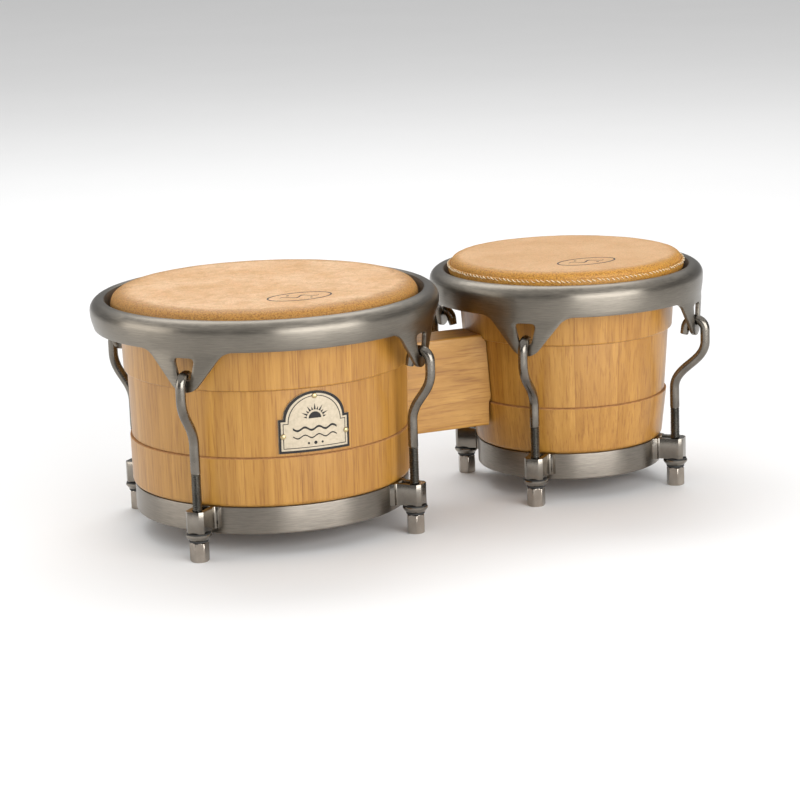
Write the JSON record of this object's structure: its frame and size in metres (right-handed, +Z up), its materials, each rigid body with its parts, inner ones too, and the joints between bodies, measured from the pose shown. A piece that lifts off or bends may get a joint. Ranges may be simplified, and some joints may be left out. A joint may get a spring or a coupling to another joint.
{
  "type": "bongo drums",
  "caption": "Pair of tapered wooden bongo drums on a wooden centre block, with rawhide heads, rolled steel rims and tuning hooks.",
  "frame": {"origin": "centre of the overall footprint, on the plane of the tuning nuts' lower faces, which stand on the floor", "axes": "+X from the large drum to the small drum, +Z up, -Y is the front, where the badge is"},
  "size_m": [0.4682, 0.25, 0.1753],
  "materials": {
    "shell_wood": "satin lacquered light oak, vertical staves",
    "block_wood": "satin lacquered, grain lengthwise",
    "rawhide": "matte scraped rawhide",
    "steel": "brushed dark nickel plate",
    "dark_steel": "satin dark nickel plate",
    "badge_plate": "satin, dark border",
    "badge_pins": "satin"
  },
  "bodies": {
    "shells": {"large_shell": "shell_wood", "large_head": "rawhide", "large_flesh_hoop": "steel", "large_base_ring": "steel", "large_bracket_1": "dark_steel", "large_bracket_2": "dark_steel", "large_bracket_3": "dark_steel", "large_bracket_4": "dark_steel", "large_washer_1": "dark_steel", "large_washer_2": "dark_steel", "large_washer_3": "dark_steel", "large_washer_4": "dark_steel", "small_shell": "shell_wood", "small_head": "rawhide", "small_flesh_hoop": "steel", "small_base_ring": "steel", "small_bracket_1": "dark_steel", "small_bracket_2": "dark_steel", "small_bracket_3": "dark_steel", "small_bracket_4": "dark_steel", "small_washer_1": "dark_steel", "small_washer_2": "dark_steel", "small_washer_3": "dark_steel", "small_washer_4": "dark_steel", "centre_block": "block_wood", "large_block_bolt_1": "dark_steel", "large_block_bolt_2": "dark_steel", "small_block_bolt_1": "dark_steel", "small_block_bolt_2": "dark_steel", "badge": "badge_plate", "badge_pin_top": "badge_pins", "badge_pin_left": "badge_pins", "badge_pin_right": "badge_pins"},
    "large_rim": {"large_rim": "steel", "large_hook_1": "steel", "large_hook_2": "steel", "large_hook_3": "steel", "large_hook_4": "steel"},
    "large_nut_1": {"large_nut_1": "dark_steel"},
    "large_nut_2": {"large_nut_2": "dark_steel"},
    "large_nut_3": {"large_nut_3": "dark_steel"},
    "large_nut_4": {"large_nut_4": "dark_steel"},
    "small_rim": {"small_rim": "steel", "small_hook_1": "steel", "small_hook_2": "steel", "small_hook_3": "steel", "small_hook_4": "steel"},
    "small_nut_1": {"small_nut_1": "dark_steel"},
    "small_nut_2": {"small_nut_2": "dark_steel"},
    "small_nut_3": {"small_nut_3": "dark_steel"},
    "small_nut_4": {"small_nut_4": "dark_steel"}
  },
  "joints": [
    {"name": "large_rim_lift", "type": "slide", "parent": "shells", "child": "large_rim", "axis": [0, 0, 1], "range_m": [0, 0.006]},
    {"name": "large_nut_1_turn", "type": "hinge", "parent": "shells", "child": "large_nut_1", "pos_m": [-0.19263, -0.07654, 0.007], "axis": [0, 0, -1], "range_deg": [0, 1728]},
    {"name": "large_nut_2_turn", "type": "hinge", "parent": "shells", "child": "large_nut_2", "pos_m": [-0.03256, -0.08353, 0.007], "axis": [0, 0, -1], "range_deg": [0, 1728]},
    {"name": "large_nut_3_turn", "type": "hinge", "parent": "shells", "child": "large_nut_3", "pos_m": [-0.02557, 0.07654, 0.007], "axis": [0, 0, -1], "range_deg": [0, 1728]},
    {"name": "large_nut_4_turn", "type": "hinge", "parent": "shells", "child": "large_nut_4", "pos_m": [-0.18564, 0.08353, 0.007], "axis": [0, 0, -1], "range_deg": [0, 1728]},
    {"name": "small_rim_lift", "type": "slide", "parent": "shells", "child": "small_rim", "axis": [0, 0, 1], "range_m": [0, 0.006]},
    {"name": "small_nut_1_turn", "type": "hinge", "parent": "shells", "child": "small_nut_1", "pos_m": [0.07411, -0.06005, 0.007], "axis": [0, 0, -1], "range_deg": [0, 1728]},
    {"name": "small_nut_2_turn", "type": "hinge", "parent": "shells", "child": "small_nut_2", "pos_m": [0.19175, -0.05759, 0.007], "axis": [0, 0, -1], "range_deg": [0, 1728]},
    {"name": "small_nut_3_turn", "type": "hinge", "parent": "shells", "child": "small_nut_3", "pos_m": [0.18929, 0.06005, 0.007], "axis": [0, 0, -1], "range_deg": [0, 1728]},
    {"name": "small_nut_4_turn", "type": "hinge", "parent": "shells", "child": "small_nut_4", "pos_m": [0.07165, 0.05759, 0.007], "axis": [0, 0, -1], "range_deg": [0, 1728]}
  ],
  "couplings": [
    {"joint": "large_nut_1_turn", "follows": "large_rim_lift", "rad_per_m": 5026.5},
    {"joint": "large_nut_2_turn", "follows": "large_rim_lift", "rad_per_m": 5026.5},
    {"joint": "large_nut_3_turn", "follows": "large_rim_lift", "rad_per_m": 5026.5},
    {"joint": "large_nut_4_turn", "follows": "large_rim_lift", "rad_per_m": 5026.5},
    {"joint": "small_nut_1_turn", "follows": "small_rim_lift", "rad_per_m": 5026.5},
    {"joint": "small_nut_2_turn", "follows": "small_rim_lift", "rad_per_m": 5026.5},
    {"joint": "small_nut_3_turn", "follows": "small_rim_lift", "rad_per_m": 5026.5},
    {"joint": "small_nut_4_turn", "follows": "small_rim_lift", "rad_per_m": 5026.5}
  ]
}
